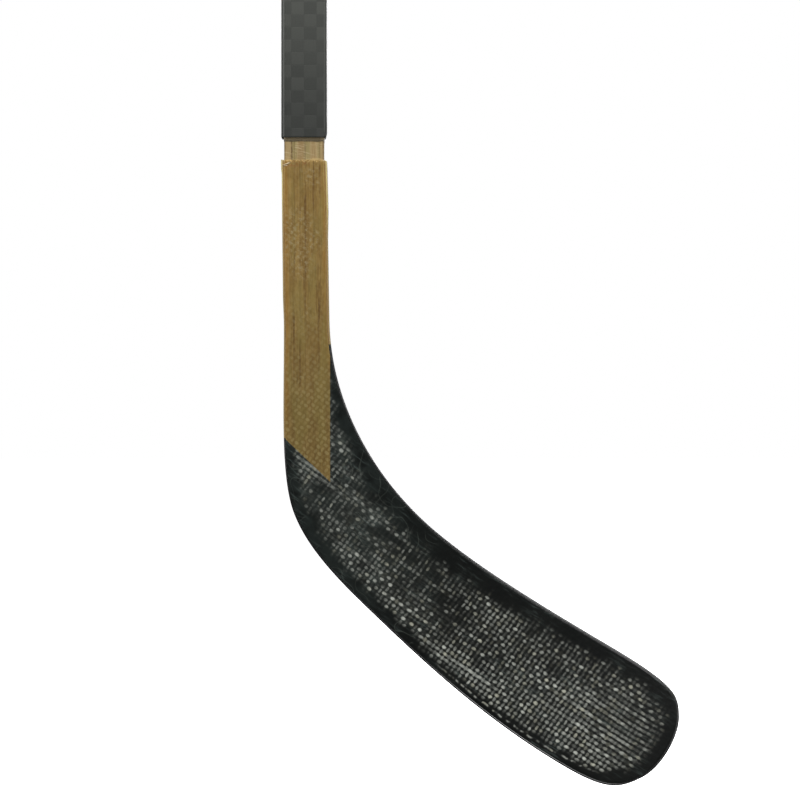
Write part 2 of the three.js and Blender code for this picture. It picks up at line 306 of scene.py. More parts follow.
# --- node trees ---
def srgb(red, green, blue):
    """A colour given as 0 to 255, as the linear colour that the nodes take."""
    c = np.array((red, green, blue)) / 255
    linear = np.where(c <= 0.04045, c / 12.92, ((c + 0.055) / 1.055) ** 2.4)
    return (*linear.tolist(), 1.0)


def operator(operation):
    """The two methods by which a Python operator adds a math node to a value's tree."""
    def forwards(self, other):
        return self.graph.math(operation, self, other)

    def backwards(self, other):
        return self.graph.math(operation, other, self)

    return forwards, backwards


class Value:
    """A number that a node gives, to be reckoned with like any other."""
    __add__, __radd__ = operator("ADD")
    __sub__, __rsub__ = operator("SUBTRACT")
    __mul__, __rmul__ = operator("MULTIPLY")
    __pow__, _ = operator("POWER")
    __mod__, _ = operator("FLOORED_MODULO")

    def __init__(self, graph, socket):
        self.graph, self.socket = graph, socket

    def __abs__(self):
        return self.graph.math("ABSOLUTE", self)

    def whole(self):
        return self.graph.math("FLOOR", self)

    def from_middle(self):
        """How far the fraction of the value is from a half."""
        return abs(self.graph.math("FRACT", self) - 0.5)

    def ease(self, low, high, start=0, end=1):
        """Start below low, end above high, and a smooth step between them."""
        inputs = {"Value": self, "From Min": low, "From Max": high, "To Min": start, "To Max": end}
        return self.graph.value("MapRange", inputs, interpolation_type="SMOOTHSTEP")

    def line(self, at, width):
        """1 at a place, falling to 0 a width away on both sides."""
        return abs(self - at).ease(0, width, 1, 0)


class Graph:
    """The node tree of a material or a world, with short calls for the nodes that are used here."""

    def __init__(self, name, kind="materials"):
        self.owner = getattr(bpy.data, kind).new(name)
        self.owner.use_nodes = True
        self.tree = self.owner.node_tree
        self.tree.nodes.clear()

    def node(self, kind, inputs, **settings):
        made = self.tree.nodes.new("ShaderNode" + kind)
        for key, value in settings.items():
            setattr(made, key, value)
        for key, value in inputs.items():
            self.put(made.inputs[key], value)
        return made

    def put(self, socket, value):
        value = getattr(value, "socket", value)
        if isinstance(value, bpy.types.NodeSocket):
            self.tree.links.new(value, socket)
        else:
            socket.default_value = value

    def value(self, kind, inputs, **settings):
        return Value(self, self.node(kind, inputs, **settings).outputs[0])

    def math(self, operation, *values, clamp=False):
        return self.value("Math", dict(enumerate(values)), operation=operation, use_clamp=clamp)

    def most(self, *values):
        return self.math("MAXIMUM", *values)

    def least(self, *values):
        return self.math("MINIMUM", *values)

    def mix(self, share, first, second):
        """A mix of two colours, which are the seventh and eighth of the node's inputs."""
        return self.node("Mix", {0: share, 6: first, 7: second}, data_type="RGBA").outputs[2]

    def split(self, vector):
        return [Value(self, part) for part in self.node("SeparateXYZ", {0: vector}).outputs]

    def attribute(self, name):
        return self.split(self.node("Attribute", {}, attribute_name=name).outputs["Vector"])

    def vector(self, x, y, z):
        return self.value("CombineXYZ", {0: x, 1: y, 2: z})

    def place(self):
        """Millimetres from the shaft's mouth, fixed to the object."""
        x, y, z = self.split(self.node("TexCoord", {}).outputs["Object"])
        return x * (1 / MM), y * (1 / MM), (z - MOUTH) * (1 / MM)

    def noise(self, x, y, z, detail=3, roughness=0.55):
        inputs = {"Vector": self.vector(x, y, z), "Scale": 1, "Detail": detail, "Roughness": roughness}
        return self.value("TexNoise", inputs)

    def white(self, x, y, z=0):
        return self.value("TexWhiteNoise", {0: self.vector(x, y, z)})

    def layers(self, colour, *layers):
        """A colour under layers of others, each a share and a colour given as 0 to 255."""
        for share, shade in layers:
            colour = self.mix(share, colour, srgb(*shade))
        return colour

    def finish(self, colour, roughness, height, depth, specular=0.5):
        """The surface: a principled shader with its colour, roughness and relief in millimetres."""
        bump = {"Height": height, "Distance": depth * MM, "Strength": 1}
        normal = self.node("Bump", bump).outputs[0]
        inputs = {"Base Color": colour, "Roughness": roughness, "Normal": normal}
        surface = self.node("BsdfPrincipled", {**inputs, "Specular IOR Level": specular})
        self.node("OutputMaterial", {"Surface": surface.outputs[0]})
        return self.owner


def ash_grain(g, x, y, z, light, dark, deep):
    """The colour of the laminated ash: growth bands, streaks and pores along the grain."""
    x = x + (g.noise(x * 0.05, y * 0.05, z * 0.02, 2) - 0.5) * 5
    wide = g.noise(x * 0.28, y * 0.28, z * 0.006, 2)
    streak = g.noise(x * 0.95, y * 0.95, z * 0.022, 3, 0.65)
    pores = g.noise(x * 2.4, y * 2.4, z * 0.12, 2, 0.6)
    tone = (wide * 0.45 + streak * 0.55).ease(0.38, 0.62)
    return g.layers(srgb(*dark), (tone, light), (pores.ease(0.55, 0.72) * 0.5, deep))


def raw_ash():
    """Bare sanded wood on the tenon, paler than where resin has soaked in."""
    g = Graph("raw_ash")
    x, y, z = g.place()
    colour = ash_grain(g, x, y, z, (160, 140, 98), (132, 111, 70), (100, 80, 48))
    ply = g.noise(x * 0.23, 8, z * 0.004, 0)
    greenish, reddish = ply.ease(0.5, 0.62) * 0.45, ply.ease(0.5, 0.38) * 0.3
    colour = g.layers(colour, (greenish, (142, 132, 86)), (reddish, (152, 124, 86)))
    for at, width, strength in ((-7.9, 0.9, 0.85), (0.4, 0.6, 0.4), (12.9, 0.7, 0.6), (-12.9, 0.6, 0.5)):
        waver = (g.noise(at, 0, z * 0.12) - 0.5) * 2.4
        broken = g.noise(at, 6, z * 0.3).ease(0.3, 0.55, 0.4, 1)
        line = (x + waver).line(at, width) * broken * strength
        colour = g.layers(colour, (line, (84, 60, 34)))
    scratches = g.noise(x * 0.25 + z * 1.1, y * 0.6, x * 0.12, 3)
    scuffed = g.noise(x * 0.15, 3, z * 0.15, 1).ease(0.38, 0.6)
    rise = abs(x - 8).ease(2, 4.6, 1.3, 0.3)
    ragged = (g.noise(x * 1.1, 2, 0, 3, 0.7) - 0.5) * 2.6
    residue = (z + ragged - (rise + SHOULDER)).ease(0.35, -0.15, 0, 0.7)
    colour = g.layers(
        colour,
        (scratches.ease(0.52, 0.66) * scuffed * 0.55, (190, 172, 134)),
        (residue, (178, 154, 104)),
    )
    grain = g.noise(x * 2.2, y * 2.2, z * 0.15, 4)
    return g.finish(colour, grain.ease(0.3, 0.7, 0.6, 0.78), grain, 0.12, specular=0.3)


def weave(g, u, v):
    """The parts of a plain weave, from the places across both sets of yarns, in yarns."""
    from_u, from_v = u.from_middle(), v.from_middle()
    row, column = u.whole(), v.whole()
    long_on_top = (row + column) % 2
    cross_on_top = 1 - long_on_top

    def blob(reach_u, reach_v):
        across = (from_u * (1 / reach_u)) ** 2
        along = (from_v * (1 / reach_v)) ** 2
        return (across + along).ease(0.15, 1, 1, 0)

    return {
        "dot": long_on_top * blob(0.4, 0.58),
        "tick": cross_on_top * blob(0.62, 0.34),
        "long": from_u.ease(0.16, 0.4, 1, 0),
        "ends": from_u.ease(0.1, 0.36, 0, 1),
        "cross": from_v.ease(0.1, 0.36, 1, 0),
        "under": cross_on_top * from_v.ease(0.08, 0.42, 1, 0),
        "row": row,
        "column": column,
        "cell": g.white(row, column),
    }


def laminate_material():
    """Glass cloth in clear resin, over ash above the splice and over the black core below it."""
    g = Graph("glass_laminate")
    x, y, z = g.place()
    u, v, torn = g.attribute("yarn")
    level, margin, rim = g.attribute("cloth")
    long_share, cross_share, selvedge = g.attribute("stripes")
    for frequency, reach in ((0.12, 0.6), (0.9, 0.36)):
        push_u = g.noise(u * frequency, v * frequency, frequency, 1)
        push_v = g.noise(v * frequency, u * frequency, 7 + frequency, 1)
        u = u + (push_u - 0.5) * reach
        v = v + (push_v - 0.5) * reach
    cloth = weave(g, u, v)
    fibre = g.noise(u * 3, v * 2.2, 3, 2)
    blotch = g.noise(x * 0.09, 5, z * 0.09, 3)
    fine_blotch = g.noise(x * 0.22, 9, z * 0.22, 2)
    ragged = (g.white(cloth["row"], 3) - 0.5) * 3 + (g.white(cloth["column"], 11) - 0.5) * 4
    inside = (margin + ragged).ease(-2, 5)
    seen = level + (blotch - 0.5) * 0.6 + (fine_blotch - 0.5) * 1
    lone = g.white(cloth["row"], 21).ease(0.75, 1)
    lone = lone * g.noise(v * 0.06, cloth["row"], 2, 1).ease(0.45, 0.62)
    along_row = g.noise(v * 0.14, cloth["row"] * 0.73, 27, 1)
    along_column = g.noise(u * 0.14, cloth["column"] * 0.73, 35, 1)
    plain = 1 - long_share.ease(0.3, 0.9) * 0.5

    def strength(gain, run, run_spread, spread, lowest):
        """How bright this crossing is: the level, how its yarn runs, and a share of chance."""
        yarn = run.ease(0.38, 0.62, -run_spread, run_spread)
        chance = (cloth["cell"] - 0.5) * spread
        return g.least(g.most(seen * gain + yarn + chance, lowest), 1)

    away = g.math("SQRT", (x - 84) ** 2 + (z + 272) ** 2)
    even = g.noise(x * 0.025, 33, z * 0.025, 1).ease(0.48, 0.62)
    even = g.most(even, away.ease(14, 34, 1, 0))
    dot_gain, tick_gain = even.ease(0, 1, 1, 0.72), even.ease(0, 1, 0.5, 0.85)
    dot = cloth["dot"] * strength(dot_gain, along_row, 0.22, 0.42, 0.03) * plain
    tick = cloth["tick"] * strength(tick_gain, along_column, 0.14, 0.25, 0.04) * plain
    hatch = cloth["ends"] * x.ease(120, 30, 0, 0.13) * along_row.ease(0.35, 0.6)
    long = long_share * seen * along_row.ease(0.3, 0.7, 0.6, 1.5) + lone * 0.2
    long = cloth["long"] * g.most(long, along_row.ease(0.4, 0.65, 0, 0.14))
    dips = cloth["under"] * long_share.ease(0.6, 0.85, 1, 0)
    long = long * (1 - dips)
    cross = cross_share * g.most(seen, 0.1)
    cross = cloth["cross"] * g.most(cross, along_column.ease(0.4, 0.65, 0, 0.13))
    clear = 1
    for share in (dot, tick, long, cross, hatch, 0.03):
        clear = clear * (1 - g.least(share, 1))
    shape = (1 - clear) * (0.7 + fibre * 0.6)
    pale = g.math("MULTIPLY", shape, inside, clamp=True)
    dashes = g.noise(v * 0.75, u * 0.2, 31, 1).ease(0.42, 0.58, 0.06, 0.7)
    drift = (g.noise(v * 0.5, 51, 0, 2) - 0.5) * 2.4
    inset = x.ease(140, 215, 4.4, 7)
    dashes = selvedge * dashes * (rim + drift).line(inset, 1.2)
    pale = g.most(pale, dashes)

    # Over the black core.
    shade = g.noise(x * 0.03, 2, z * 0.03, 2)
    haze = x.ease(110, 30) * z.ease(-340, -280) * blotch.ease(0.35, 0.6, 0.3, 1)
    smear = g.noise(u * 1.9, v * 0.2, 13, 4, 0.65)
    frayed = g.noise(x * 0.035, 21, z * 0.035, 1).ease(0.42, 0.62)
    by_heel = x.ease(60, 0, 0.45, 0.95)
    black = g.layers(
        srgb(7, 9, 8),
        (shade.ease(0.35, 0.65), (14, 16, 14)),
        (haze, (30, 35, 33)),
        (smear.ease(0.5, 0.68) * frayed * by_heel, (70, 79, 76)),
    )
    for seed, amount in ((41, 0.4), (57, 0.3)):
        swirl = g.noise(x * 0.04, seed, z * 0.04, 1)
        hair = swirl.line(0.5, 0.006) * frayed.ease(0.1, 0.5) * x.ease(120, 60) * amount
        black = g.layers(black, (hair, (84, 90, 84)))
    warm = g.white(cloth["row"], cloth["column"], 5).ease(0.6, 1)
    glass = g.layers(srgb(181, 184, 175), (warm, (183, 183, 166)))
    over_core = g.mix(pale ** 1.8, black, glass)

    # Over the ash.
    wood = ash_grain(g, x, y, z, (146, 120, 68), (120, 95, 50), (86, 62, 32))
    fine = g.noise(x * 1.7, y * 0.2, z * 0.016, 2)
    broken = g.noise(x * 0.5, 4, z * 0.09, 3).ease(0.42, 0.6)
    wood = g.layers(wood, (fine.ease(0.55, 0.68) * broken * 0.6, (78, 54, 26)))
    for at, dark, height, reach in RESIN_STREAKS:
        waver = (g.noise(at, 0, z * 0.06) - 0.5) * 2
        along = g.noise(at, 4, z * 0.05, 3).ease(0.4, 0.56, 0.15, 1)
        line = (x + waver).line(at, 0.9) * (0.35 + z.line(height, reach) * 0.65)
        wood = g.layers(wood, (line * along * dark, (74, 44, 22)))
    golden_from = x.ease(-2, 2, -215, -130)
    golden = rim.ease(4.5, 1.8) * (z - golden_from).ease(0, 60, 0.5, 1) * 0.5
    milky_and_painted_light = level.ease(0.28, 0.75) * z.ease(-185, -150, 0.3, 1)
    crossings = g.most(cloth["dot"], cloth["tick"] * 0.8)
    blurred = crossings * 0.22 + (g.noise(u * 1.5, v * 1.1, 17, 3, 0.7) - 0.5) * 2.6
    blotches = g.noise(x * 0.25, 40, z * 0.13, 4, 0.65)
    olive = g.noise(x * 0.12, 30, z * 0.02, 1).ease(0.46, 0.6, 0, 0.35)
    uneven = (cloth["cell"] * 0.6 + blotch * 1.2).ease(0.6, 1.1, 0.15, 1)
    scorched = g.noise(x * 0.8, 12, z * 0.5, 3).ease(0.48, 0.62)
    scorched = scorched * z.line(SHOULDER - 2.4, 3) * x.ease(8, -4)
    tufts = g.noise(x * 0.7, 2, z * 0.5, 3, 0.65).ease(0.42, 0.56, 0.1, 1)
    wood = g.layers(
        wood,
        # Painted shade: the ash under the glass is painted darker towards the bottom, as if less light
        # reached it.
        (z.ease(-40, -220, 0, 0.5), (90, 76, 44)),
        (golden, (150, 108, 48)),
        (blurred.ease(0, 0.6) * milky_and_painted_light * 0.6, (154, 142, 108)),
        (blurred.ease(0.1, -0.4) * milky_and_painted_light * 0.4, (98, 74, 40)),
        (blotches.ease(0.47, 0.62, 0, 0.22), (100, 74, 38)),
        (blotches.ease(0.5, 0.36, 0, 0.2), (160, 136, 88)),
        (olive, (124, 112, 62)),
        (crossings * z.ease(-80, -200, 0.08, 0.4) * uneven, (150, 136, 92)),
        (crossings.ease(0.3, 0) * z.ease(-120, -200, 0, 0.18), (84, 66, 34)),
        (scorched * 0.75, (128, 70, 38)),
        (rim.ease(2.2, 1.3, 0, 0.5) * z.ease(-70, -20, 0.3, 1), (180, 156, 92)),
        (torn * tufts * 0.8, (190, 160, 104)),
    )

    drop = z - (x - SPLICE_LEFT[0]) * SPLICE_SLOPE
    below = drop.ease(SPLICE_LEFT[1] - 0.35, SPLICE_LEFT[1] + 0.35, 1, 0)
    beside = x.ease(SPLICE_RIGHT[0] - 0.3, SPLICE_RIGHT[0] + 0.3)
    colour = g.mix(g.most(below, beside), wood, over_core)
    relief = g.most(cloth["dot"], cloth["tick"]) * 0.6 + fibre * 0.3
    rough = pale.ease(0, 1, 0.32, 0.5)
    return g.finish(colour, rough, relief, 0.03, specular=0.28)


def speckled(name, scale, detail, low, high, rough, depth, mottle=(0.35, 0.65), layer=None):
    """A material mottled by fine noise: its scale along X, Y and Z, and its range of roughness.
    A layer adds a function of the tree and the place, which gives a share, and its colour."""
    g = Graph(name)
    place = g.place()
    grain = g.noise(*(at * size for at, size in zip(place, scale)), detail)
    colour = g.layers(srgb(*low), (grain.ease(*mottle), high))
    if layer:
        share, shade = layer
        colour = g.layers(colour, (share(g, *place), shade))
    return g.finish(colour, grain.ease(0.3, 0.7, *rough), grain, depth)


def core_material():
    """Moulded black core, showing as the blade's rim: satin, with a fine sanded grain."""
    def scuffs(g, x, y, z):
        return g.noise(x * 0.25, y * 2.2, z * 0.25, 3).ease(0.6, 0.75) * 0.2

    return speckled("black_core", (1.4, 1.4, 1.4), 4, (7, 8, 8), (13, 14, 13), (0.24, 0.34), 0.02,
                    (0.4, 0.7), (scuffs, (50, 52, 50)))


def wrap_material():
    """Clear glass cloth over ash along the hosel's sides, bleached where it turns the corner."""
    g = Graph("clear_glass")
    x, y, z = g.place()
    corner, _, torn = g.attribute("edge")
    weave_lines = g.noise((x + z) * 1.3, y * 1.3, (z + y) * 0.5, 2)
    colour = g.layers(
        ash_grain(g, x, y * 0.7, z, (148, 116, 60), (126, 94, 46), (94, 66, 32)),
        # Painted shade: the wrap is painted darker towards the bottom, as if less light reached it.
        (z.ease(-50, -220, 0, 0.45), (96, 78, 44)),
        (weave_lines.ease(0.5, 0.72) * 0.25, (168, 152, 108)),
        (corner.ease(0.1, 0.9) * z.ease(-75, -25, 0.35, 0.95), (204, 188, 124)),
        (torn * 0.6, (206, 184, 130)),
    )
    return g.finish(colour, weave_lines.ease(0.3, 0.7, 0.36, 0.5), weave_lines, 0.05)


def glue_material(name, low, high, layer=None):
    """Set adhesive: slightly lumpy, with a soft gloss."""
    return speckled(name, (0.9, 0.9, 0.9), 3, low, high, (0.32, 0.48), 0.15, layer=layer)


def carbon_weave():
    """Wide flat carbon tows in a checkerboard, under a thin satin resin."""
    g = Graph("woven_carbon")
    u, v, mouth = g.attribute("tow")
    row, column = u.whole(), v.whole()
    parity = (row + column) % 2
    across = g.noise(u * 42, v * 1.6, 1, 2)
    lengthways = g.noise(u * 1.6, v * 42, 5, 2)
    strands = parity * across + (1 - parity) * lengthways
    cell = g.white(row, column, 4)
    border = g.most(u.from_middle().ease(0.455, 0.5), v.from_middle().ease(0.455, 0.5))
    tone = g.math("ADD", parity * 0.55 + cell * 0.3, (strands - 0.5) * 0.5, clamp=True)
    colour = g.layers(
        srgb(58, 60, 56),
        (tone, (68, 70, 65)),
        (border * 0.2, (50, 51, 48)),
        # Painted shade: the tows are painted darker towards the mouth, over the lowest twelve tows, as if
        # less light reached them.
        (v.ease(0, 12, 0.75, 0), (40, 42, 39)),
        # Painted shade on the chamfer round the mouth's lower edge, which faces down and away from the
        # lamps.
        (mouth * 0.3, (34, 34, 32)),
    )
    relief = strands * 0.25 - border * 0.5 + parity * 0.1
    rough = 0.4 + parity * 0.05 + cell * 0.03
    return g.finish(colour, rough, relief, 0.04)


def carbon_tube():
    """The structural tube's raw carbon, with fine fibres along it."""
    return speckled("carbon_tube", (6, 6, 0.08), 3, (22, 22, 22), (46, 46, 45), (0.38, 0.55), 0.06)


def plug_plastic():
    """Injection-moulded plastic with a fine spark-eroded texture."""
    def wear(g, x, y, z):
        return g.noise(x * 0.2, y * 0.2, z * 0.2, 4).ease(0.55, 0.75) * 0.4

    return speckled("plug_plastic", (3.2, 3.2, 3.2), 3, (26, 27, 27), (36, 37, 37), (0.5, 0.66), 0.05,
                    layer=(wear, (58, 59, 58)))


# --- the shaft ---
def ring_points(width, depth, corner, spacing=2.8):
    """A rounded rectangle from the middle of the back round by -X to the front and back again."""
    turn = np.linspace(0, np.pi / 2, 9)
    a, b = width / 2 - corner, depth / 2 - corner
    sin, cos = corner * np.sin(turn), corner * np.cos(turn)
    corners = ((-a - sin, b + cos), (-a - cos, -b - sin), (a + sin, -b - cos), (a + cos, b + sin))
    arcs = [np.stack(corner, -1) for corner in corners]
    route = [np.array([[0, depth / 2]])]
    for arc in [*arcs, np.array([[0, depth / 2]])]:
        gap = arc[0] - route[-1][-1]
        steps = max(1, round(np.linalg.norm(gap) / spacing))
        shares = np.arange(1, steps)[:, None] / steps
        route += [route[-1][-1] + gap * shares, arc]
    return np.concatenate(route)[:-1]


def girth_of(points):
    """How far round each point of a closed ring is, ending with the whole way round."""
    steps = np.linalg.norm(np.roll(points, -1, 0) - points, axis=1)
    return np.concatenate([[0], np.cumsum(steps)])


def mouth_wear(ring, z):
    """A ring of the shaft, with its toe side pushed in near the mouth where blades were forced in."""
    reach, depth = 4.6, 1.0
    share = np.clip(1 - z / reach, 0, 1) ** 1.3 * np.clip((ring[:, 0] - 11.4) / 3.2, 0, 1)
    return ring - np.stack([depth * share, 0 * share], -1)


def shaft_tube():
    """The structural tube, seen at the mouth and at the open upper end."""
    length, bond = SHAFT["length"], 0.05
    outer = ring_points(*(SHAFT[k] - 2 * (PLY + bond) for k in ("width", "depth")), SHAFT["corner"] - PLY)
    inner = ring_points(HOLLOW["width"], HOLLOW["depth"], HOLLOW["corner"])
    heights = np.concatenate([[0, 0.3], np.linspace(1.2, 4.6, 4), np.linspace(40, length - 1, 12), [length]])
    rub = np.where(heights == 0, 0.2, 0.0)
    outwards = outer / np.linalg.norm(outer, axis=1)[:, None]
    up = [to_frame(*(mouth_wear(outer, z) - outwards * r).T, z) for z, r in zip(heights, rub)]
    down = [to_frame(*inner.T, z) for z in (length, length / 2, 0)]
    shell = pipe_shell(up, down)
    return piece("structural_tube", shell, carbon_tube(), "shaft", ["shaft_tube"])


def shaft_sleeve():
    """The woven ply: a thin tube with slightly crowned tows, pushed in by wear and chamfered at the mouth,
    with painted shade on the chamfer.
    """
    length, chamfer = SHAFT["length"], 0.5
    ring = ring_points(SHAFT["width"], SHAFT["depth"], SHAFT["corner"])
    inner = ring_points(SHAFT["width"] - 2 * PLY, SHAFT["depth"] - 2 * PLY, SHAFT["corner"] - PLY)
    girth = girth_of(ring)
    half = girth[-1] / 2
    near_mouth = [0, 0.2, chamfer, 1.2, 2.0, 3.2, 4.6]
    heights = np.concatenate([near_mouth, np.arange(TOW, length - 1, TOW / 3), [length]])
    inwards = -ring / np.linalg.norm(ring, axis=1)[:, None]
    rows = []
    for z in heights:
        cut = np.maximum(0, 1 - z / chamfer) ** 2 * PLY * 0.6
        crown = 0.03 * (1 - np.abs(np.cos(np.pi * (girth[:-1] - half) / TOW) * np.cos(np.pi * z / TOW)))
        offset = cut if z <= chamfer else crown
        rows.append(to_frame(*(mouth_wear(ring, z) + inwards * np.reshape(offset, (-1, 1))).T, z))
    lining = (length, 4.6, 3.2, 2.0, 1.2, 0)
    inside = [to_frame(*mouth_wear(inner, z).T, z) for z in lining]
    shell, weave_look = pipe_shell(rows, inside), carbon_weave()
    sleeve = piece("woven_shaft", shell, weave_look, "shaft", ["shaft_woven_ply"])
    z_of = np.concatenate([heights, lining])
    # The share across the chamfer at the mouth, which the woven carbon uses for painted shade there.
    chamfer_shade = np.clip(1 - z_of / chamfer, 0, 1)
    vertex = np.zeros(len(sleeve.data.loops), int)
    sleeve.data.loops.foreach_get("vertex_index", vertex)
    row, column = vertex // len(ring), vertex % len(ring)
    round_way = girth[column]
    for polygon in sleeve.data.polygons:
        loop = slice(polygon.loop_start, polygon.loop_start + polygon.loop_total)
        if np.ptp(column[loop]) > 1:
            round_way[loop] = np.where(column[loop] == 0, girth[-1], round_way[loop])
    values = np.stack([(round_way - half) / TOW, z_of[row] / TOW + 0.27, chamfer_shade[row]], -1)
    layer = sleeve.data.attributes.new("tow", "FLOAT_VECTOR", "CORNER")
    layer.data.foreach_set("vector", values.astype(np.float32).ravel())
    return sleeve


def butt_plug():
    """The end plug: a tapered spigot with crush ribs, and a cap with moulded grooves."""
    low, seat = SHAFT["length"] - PLUG["spigot"], SHAFT["length"] + PLUG["seat"]
    slack, taper, bevel = PLUG["slack"], PLUG["taper"], PLUG["bevel"]
    spigot = HOLLOW["width"] - 2 * slack, HOLLOW["depth"] - 2 * slack, HOLLOW["corner"] - slack
    cap = SHAFT["width"], SHAFT["depth"], SHAFT["corner"]

    def ring(size, inset, z, ribs=0.0):
        width, depth, _ = size
        base = ring_points(*size, spacing=1.2)
        shrunk = base * np.array([1 - 2 * inset / width, 1 - 2 * inset / depth])
        groove = ribs * (np.cos(2 * np.pi * base[:, 0] / 4.2) < 0.2) * (np.abs(base[:, 0]) < width / 2 - 2.5)
        shrunk[:, 1] -= np.sign(base[:, 1]) * groove
        return to_frame(*shrunk.T, z)

    # Insets and heights up the spigot and up the cap, with the ribs' depth where there are ribs.
    spigot_rows = [(taper + 1.5, low), (taper, low + 0.3), (0.15, low + taper + 0.6), (0, low + 2.6)]
    spigot_rows += [(0, low + 4), *((0, z, 0.3) for z in np.linspace(low + 4.4, seat - 4, 12))]
    spigot_rows += [(0, seat - 3.6), (0, seat + 1)]
    groove = ((0, -0.7), (0.12, -0.45), (0.4, -0.3), (0.4, 0.3), (0.12, 0.45), (0, 0.7))
    cap_rows = [(1.4, seat), (0.25, seat), (0, seat + 0.25)]
    cap_rows += [(inset, seat + at + dz) for at in (3.2, 5.6) for inset, dz in groove]
    turn, top = np.linspace(0, np.pi / 2, 9), seat + PLUG["cap"]
    cap_rows += [*zip(bevel * (1 - np.cos(turn)), top - bevel + bevel * np.sin(turn)), (bevel + 0.6, top)]
    shells = [
        tube_shell(np.array([ring(size, *row) for row in rows]))
        for size, rows in ((spigot, spigot_rows), (cap, cap_rows))
    ]
    plug = joined(*shells)
    return piece("end_plug", plug, plug_plastic(), "butt_plug", ["butt_end_plug"], crease=35)


# --- the hosel and blade ---
def row_shares(spacing):
    """Shares along the side curves that lie evenly along the blade's middle."""
    fine = np.linspace(0, 1, 4001)
    middle = (heel_point(fine) + throat_point(fine)) / 2
    run = np.concatenate([[0], np.cumsum(np.linalg.norm(np.diff(middle, axis=0), axis=1))])
    return np.interp(np.linspace(0, run[-1], int(run[-1] / spacing)), run, fine)


def column_shares(count):
    """Shares across the blade, closer together near both edges."""
    even = np.linspace(-1, 1, count)
    return 0.5 + 0.5 * (0.86 * even + 0.14 * np.sin(even * np.pi / 2) ** 3)


def nearest(plan, line):
    """Distance of each plan point from a line of points."""
    flat = plan.reshape(-1, 2)
    out = np.empty(len(flat))
    for i in range(0, len(flat), 2000):
        gap = flat[i:i + 2000, None, :] - line[None, :, :]
        out[i:i + 2000] = np.sqrt((gap**2).sum(-1).min(1))
    return out.reshape(plan.shape[:-1])


FINE = np.linspace(0, 1, 1200)
HEEL_LINE, THROAT_LINE, TOE_LINE = heel_point(FINE), throat_point(FINE), toe_point(FINE[::6])


def yarn_places(x, z):
    """Places across the long yarns and across the cross yarns, in yarns."""
    c, s = np.cos(YARN["dip"]), np.sin(YARN["dip"])
    along = x * c - z * s
    across = x * s + z * c
    turned = across - YARN["turn"] * np.maximum(along - YARN["turn_from"], 0) ** 2
    return turned / YARN["pitch"], along / YARN["pitch"]


def patched(x, z, level, patches):
    """A level with soft round patches added to it."""
    level = np.full(x.shape, level)
    for px, pz, radius, strength in patches:
        level += strength * np.exp(-((x - px) ** 2 + (z - pz) ** 2) / (2 * radius**2))
    return level


def bright_yarns(x, z):
    """Where a few long yarns lie nearer the surface than the rest."""
    level = np.zeros(x.shape)
    across, along = (places * YARN["pitch"] for places in yarn_places(x, z))
    for place, start, end, strength in BRIGHT_YARNS:
        near = np.exp(-((across - place) / YARN["pitch"]) ** 4)
        level += strength * near * np.clip((along - start) / 6, 0, 1) * np.clip((end - along) / 20, 0, 1)
    return level


def cloth_margin(x, z, to_heel, to_throat, to_toe):
    """Distance inside the border of the visible weave."""
    s, _ = centreline(x, z)
    throat = np.interp(s, [170, 210, 250, 300, 400, 470, 530], [4.5, 7.5, 11.5, 12, 11, 10.5, 8])
    heel = np.interp(s, [150, 205, 240, 300, 350, 450, 530], [2, 3, 7.5, 8, 5, 6.5, 7])
    return np.min([to_throat - throat, to_heel - heel, to_toe - 6], 0)


def shoulder_rag(x, z, side):
    """Sets the laminate's and wraps' upper edge back and forth where the glass is torn off."""
    reach = 3.2
    share = np.clip(1 - (SHOULDER - z) / reach, 0, 1)
    rag = -0.45 + 0.5 * wander(x, 6.0, 5 + side) + 0.4 * wander(x, 1.6, 15 + side)
    return share * np.clip(rag, -1.5, 0.2)


def laminate(name, side):
    """The glass laminate on one face: side -1 is the forehand face and 1 the back."""
    u, v = row_shares(1.25)[:, None], column_shares(65)[None, :]
    plan = plan_point(u, v, RIM_WIDTH)
    x, z = plan[..., 0], plan[..., 1]
    to_sides = [nearest(plan, line) for line in (HEEL_LINE, THROAT_LINE, TOE_LINE)]
    to_heel, to_throat, _ = to_sides
    rim = np.min(to_sides, 0)
    middle, half = section(x, z)
    lip = 0.2 * np.clip(1 - (rim - RIM_WIDTH) / 0.4, 0, 1) ** 2
    surface = half - rim_drop(half, rim) - lip
    across, along = yarn_places(x, z)
    ripple = 0.035 * np.cos(2 * np.pi * across / 2) * np.cos(2 * np.pi * along / 2)
    outer = to_frame(x, middle + side * (surface + ripple), z + shoulder_rag(x, z, side))
    inner = to_frame(x, middle + side * (surface - SKIN), z)
    torn = np.exp((z - SHOULDER) / 0.7)
    bright = bright_yarns(x, z)
    level = patched(x, z, 0.27, CLOTH_PATCHES) + bright + (0.12 if side > 0 else 0.0)
    along_sole = np.clip((x - 60) / 20, 0, 1) * np.clip((218 - x) / 10, 0, 1)
    level += 0.24 * along_sole * np.exp(-((to_heel - 9.5) / 2.6) ** 2)
    selvedge = np.clip((x - 80) / 20, 0, 1) * np.clip((196 - x) / 16, 0, 1) * (to_heel < to_throat)
    shift = 0.0 if side < 0 else 40.5
    layers = {
        "yarn": (across + shift, along + shift, torn),
        "cloth": (level, cloth_margin(x, z, *to_sides), rim),
        "stripes": (
            patched(x, z, 0.2, LONG_STRIPES) + 2.2 * bright, patched(x, z, 0.24, CROSS_STRIPES), selvedge,
        ),
    }
    shell = sheet_shell(outer, inner)
    stands_for = [name + "_glass_laminate"]
    return piece(name + "_laminate", shell, LAMINATE, "blade", stands_for, layers)


